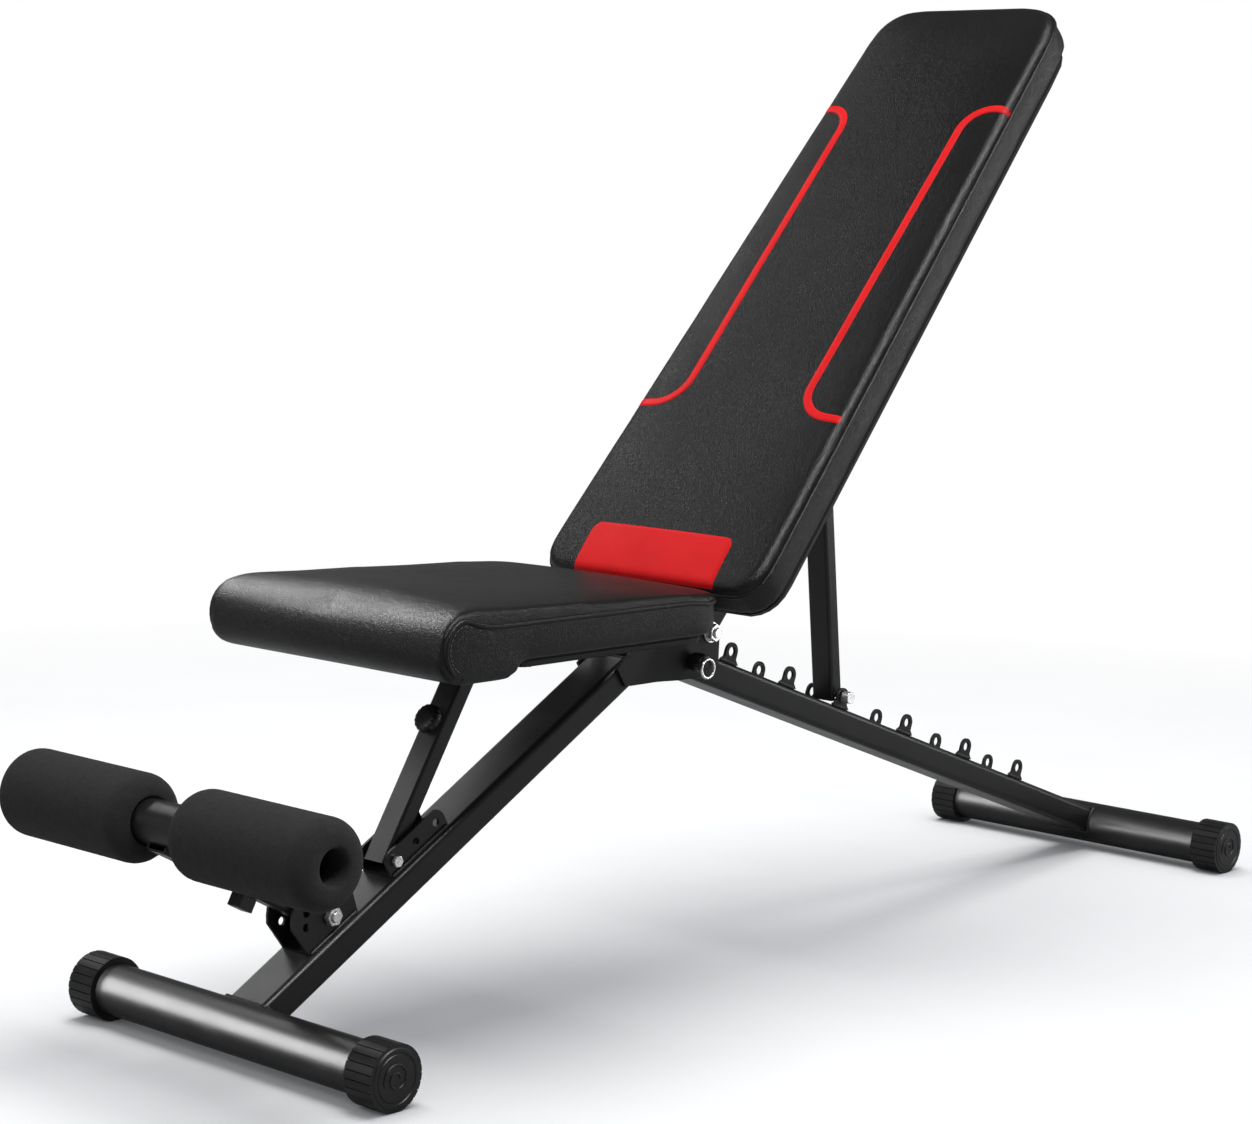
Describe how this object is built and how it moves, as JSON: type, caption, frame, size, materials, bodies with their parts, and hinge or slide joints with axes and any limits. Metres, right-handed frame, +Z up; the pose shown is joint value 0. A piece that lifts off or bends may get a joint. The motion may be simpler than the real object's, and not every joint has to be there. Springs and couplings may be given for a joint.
{
  "type": "decline sit up bench",
  "caption": "Folding weight bench with a wide seat, long reclining backrest held by a prop strut on a row of lugs, and a leg-hold arm with foam rollers.",
  "frame": {"origin": "centre of the bench's box on the floor, on its mid-plane", "axes": "+Z up; +X from the foam rollers and the seat towards the rear foot; Y across the bench, mirror plane at Y = 0"},
  "size_m": [1.488, 0.412, 0.9913],
  "materials": {
    "black_paint": "satin black powder coat",
    "black_plastic": "moulded black plastic",
    "zinc": "zinc plated",
    "black_vinyl": "black imitation leather, satin",
    "foam": "closed-cell foam, matt charcoal",
    "board": "board covered in black cloth"
  },
  "bodies": {
    "front_frame": {"front_foot_tube": "black_paint", "front_foot_cap_near": "black_plastic", "front_foot_cap_far": "black_plastic", "front_leg": "black_paint", "leg_top_plug": "black_plastic", "hinge_plate_near": "black_paint", "hinge_plate_far": "black_paint", "pivot_bolt": "zinc", "pivot_washer": "zinc", "pivot_nut": "zinc", "seat_pivot_bolt": "zinc", "roller_bracket": "black_paint", "roller_pivot_nut": "zinc", "roller_pivot_bolt": "zinc", "seat_strut_bracket": "black_paint", "seat_strut_bolt": "zinc"},
    "rear_frame": {"rear_foot_tube": "black_paint", "rear_foot_cap_near": "black_plastic", "rear_foot_cap_far": "black_plastic", "rear_beam": "black_paint", "beam_front_plug": "black_plastic", "beam_ear_near": "black_paint", "beam_ear_far": "black_paint", "pivot_spacer": "zinc", "lug_1_near": "black_paint", "lug_1_far": "black_paint", "lug_2_near": "black_paint", "lug_2_far": "black_paint", "lug_3_near": "black_paint", "lug_3_far": "black_paint", "lug_4_near": "black_paint", "lug_4_far": "black_paint", "lug_5_near": "black_paint", "lug_5_far": "black_paint", "lug_6_near": "black_paint", "lug_6_far": "black_paint"},
    "backrest": {"backrest_cushion": "black_vinyl", "backrest_board": "board", "backrest_pivot_bracket": "black_paint", "prop_top_bracket": "black_paint", "prop_top_bolt": "zinc"},
    "prop": {"prop_strut": "black_paint"},
    "prop_pin": {"prop_lock_pin": "zinc"},
    "fold_lock": {"fold_knob": "black_plastic", "fold_pull_ring": "zinc"},
    "seat": {"seat_cushion": "black_vinyl", "seat_board": "board", "seat_rail_near": "black_paint", "seat_rail_far": "black_paint", "seat_strut_top_bracket": "black_paint", "seat_strut_pin": "zinc"},
    "seat_strut": {"seat_strut_outer": "black_paint"},
    "seat_slider": {"seat_strut_inner": "zinc"},
    "seat_lock": {"seat_knob": "black_plastic"},
    "roller_arm": {"roller_arm": "black_paint", "arm_stop": "black_paint", "cross_tube": "black_paint"},
    "roller_pin": {"roller_lock_pin": "zinc"},
    "foam_near": {"foam_roller_near": "foam"},
    "foam_far": {"foam_roller_far": "foam"}
  },
  "joints": [
    {"name": "fold", "type": "hinge", "parent": "front_frame", "child": "rear_frame", "pos_m": [-0.04002, 0, 0.335], "axis": [0, 1, 0], "range_deg": [0, 100]},
    {"name": "recline", "type": "hinge", "parent": "rear_frame", "child": "backrest", "pos_m": [-0.04002, 0, 0.335], "axis": [0, 1, 0], "range_deg": [-5, 42]},
    {"name": "prop_swing", "type": "hinge", "parent": "backrest", "child": "prop", "pos_m": [0.15792, 0, 0.59278], "axis": [0, 1, 0], "range_deg": [-77, 9.3]},
    {"name": "prop_pin_pull", "type": "slide", "parent": "rear_frame", "child": "prop_pin", "axis": [0, -1, 0], "range_m": [0, 0.04]},
    {"name": "fold_lock_pull", "type": "slide", "parent": "front_frame", "child": "fold_lock", "axis": [0, -1, 0], "range_m": [0, 0.01]},
    {"name": "seat_tilt", "type": "hinge", "parent": "front_frame", "child": "seat", "pos_m": [-0.12102, 0, 0.336], "axis": [0, 1, 0], "range_deg": [0, 12]},
    {"name": "seat_strut_swing", "type": "hinge", "parent": "front_frame", "child": "seat_strut", "pos_m": [-0.45522, 0, 0.15785], "axis": [0, 1, 0], "range_deg": [-5.2, 0]},
    {"name": "seat_strut_extend", "type": "slide", "parent": "seat_strut", "child": "seat_slider", "axis": [0.515, 0, 0.8572], "range_m": [0, 0.045]},
    {"name": "seat_lock_pull", "type": "slide", "parent": "seat_strut", "child": "seat_lock", "axis": [-0.8572, 0, 0.515], "range_m": [0, 0.008]},
    {"name": "roller_arm_swing", "type": "hinge", "parent": "front_frame", "child": "roller_arm", "pos_m": [-0.5332, 0, 0.11896], "axis": [0, 1, 0], "range_deg": [-35, 25]},
    {"name": "roller_pin_pull", "type": "slide", "parent": "front_frame", "child": "roller_pin", "axis": [0, -1, 0], "range_m": [0, 0.03]},
    {"name": "foam_near_spin", "type": "hinge", "parent": "roller_arm", "child": "foam_near", "pos_m": [-0.70402, -0.1185, 0.223], "axis": [0, 1, 0], "continuous": true},
    {"name": "foam_far_spin", "type": "hinge", "parent": "roller_arm", "child": "foam_far", "pos_m": [-0.70402, 0.1185, 0.223], "axis": [0, 1, 0], "continuous": true}
  ],
  "couplings": [
    {"joint": "prop_swing", "follows": "recline", "ratio": -1.83},
    {"joint": "seat_strut_swing", "follows": "seat_tilt", "ratio": -0.41},
    {"joint": "seat_strut_extend", "follows": "seat_tilt", "m_per_rad": 0.21}
  ]
}
